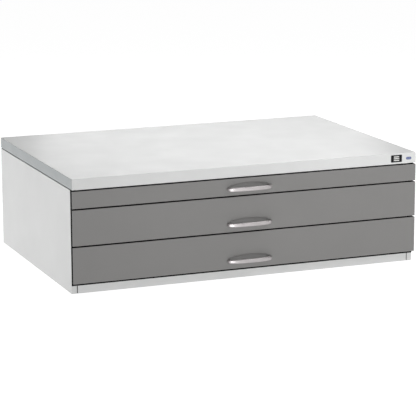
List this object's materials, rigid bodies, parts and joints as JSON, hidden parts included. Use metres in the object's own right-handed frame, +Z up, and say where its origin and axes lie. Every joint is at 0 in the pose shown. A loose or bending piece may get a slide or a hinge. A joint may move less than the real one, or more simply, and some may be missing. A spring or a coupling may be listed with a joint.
{
  "type": "flat file cabinet",
  "caption": "Low steel flat file cabinet with a thick worktop plate and wide shallow drawers on full-extension slides, each with a bow handle over a finger recess.",
  "frame": {"origin": "on the floor, under the middle of the cabinet's bounding box, handles included", "axes": "+X to the right seen from the front, +Y towards the back, +Z up; the drawers open towards -Y"},
  "size_m": [1.35, 0.927, 0.42],
  "materials": {
    "carcass_paint": "light grey powder coat, fine orange peel, satin",
    "front_paint": "mid grey powder coat, fine orange peel, satin",
    "tray_paint": "light grey powder coat, satin",
    "black_edging": "black extruded plastic edging, matt",
    "gasket_rubber": "black foam rubber, matt",
    "handle_metal": "satin silver, fine tumbled grain",
    "zinc_steel": "bright zinc plated steel",
    "cage_steel": "spring steel ball cage with polished balls",
    "dark_plate": "blank dark enamelled plate",
    "button_enamel": "blank blue-grey enamelled oval"
  },
  "bodies": {
    "cabinet": {"top_plate": "carcass_paint", "top_plate_stiffeners": "carcass_paint", "front_top_rail": "carcass_paint", "rear_top_rail": "carcass_paint", "top_plate_screws": "zinc_steel", "top_plate_nuts": "zinc_steel", "left_side_panel": "carcass_paint", "right_side_panel": "carcass_paint", "left_side_liner": "carcass_paint", "right_side_liner": "carcass_paint", "back_panel": "carcass_paint", "base_panel": "carcass_paint", "plinth_panel": "carcass_paint", "front_gasket": "gasket_rubber", "name_plate": "dark_plate", "edge_button": "button_enamel", "cabinet_slide_screws": "zinc_steel", "drawer_1_cabinet_members": "zinc_steel", "drawer_2_cabinet_members": "zinc_steel", "drawer_3_cabinet_members": "zinc_steel"},
    "drawer_1": {"drawer_1_front_panel": "front_paint", "drawer_1_edge_trim": "black_edging", "drawer_1_front_liner": "tray_paint", "drawer_1_handle": "handle_metal", "drawer_1_handle_screws": "zinc_steel", "drawer_1_tray": "tray_paint", "drawer_1_tray_stiffeners": "tray_paint", "drawer_1_rear_hood": "tray_paint", "drawer_1_front_screws": "zinc_steel", "drawer_1_slide_members": "zinc_steel", "drawer_1_slide_screws": "zinc_steel"},
    "drawer_1_runners": {"drawer_1_middle_members": "zinc_steel", "drawer_1_ball_cages": "cage_steel"},
    "drawer_2": {"drawer_2_front_panel": "front_paint", "drawer_2_edge_trim": "black_edging", "drawer_2_front_liner": "tray_paint", "drawer_2_handle": "handle_metal", "drawer_2_handle_screws": "zinc_steel", "drawer_2_tray": "tray_paint", "drawer_2_tray_stiffeners": "tray_paint", "drawer_2_rear_hood": "tray_paint", "drawer_2_front_screws": "zinc_steel", "drawer_2_slide_members": "zinc_steel", "drawer_2_slide_screws": "zinc_steel"},
    "drawer_2_runners": {"drawer_2_middle_members": "zinc_steel", "drawer_2_ball_cages": "cage_steel"},
    "drawer_3": {"drawer_3_front_panel": "front_paint", "drawer_3_edge_trim": "black_edging", "drawer_3_front_liner": "tray_paint", "drawer_3_handle": "handle_metal", "drawer_3_handle_screws": "zinc_steel", "drawer_3_tray": "tray_paint", "drawer_3_tray_stiffeners": "tray_paint", "drawer_3_rear_hood": "tray_paint", "drawer_3_front_screws": "zinc_steel", "drawer_3_slide_members": "zinc_steel", "drawer_3_slide_screws": "zinc_steel"},
    "drawer_3_runners": {"drawer_3_middle_members": "zinc_steel", "drawer_3_ball_cages": "cage_steel"}
  },
  "joints": [
    {"name": "drawer_1_slide", "type": "slide", "parent": "cabinet", "child": "drawer_1", "axis": [0, -1, 0], "range_m": [0, 0.82]},
    {"name": "drawer_1_runner_slide", "type": "slide", "parent": "cabinet", "child": "drawer_1_runners", "axis": [0, -1, 0], "range_m": [0, 0.41]},
    {"name": "drawer_2_slide", "type": "slide", "parent": "cabinet", "child": "drawer_2", "axis": [0, -1, 0], "range_m": [0, 0.82]},
    {"name": "drawer_2_runner_slide", "type": "slide", "parent": "cabinet", "child": "drawer_2_runners", "axis": [0, -1, 0], "range_m": [0, 0.41]},
    {"name": "drawer_3_slide", "type": "slide", "parent": "cabinet", "child": "drawer_3", "axis": [0, -1, 0], "range_m": [0, 0.82]},
    {"name": "drawer_3_runner_slide", "type": "slide", "parent": "cabinet", "child": "drawer_3_runners", "axis": [0, -1, 0], "range_m": [0, 0.41]}
  ],
  "couplings": [
    {"joint": "drawer_1_runner_slide", "follows": "drawer_1_slide", "ratio": 0.5},
    {"joint": "drawer_2_runner_slide", "follows": "drawer_2_slide", "ratio": 0.5},
    {"joint": "drawer_3_runner_slide", "follows": "drawer_3_slide", "ratio": 0.5}
  ]
}
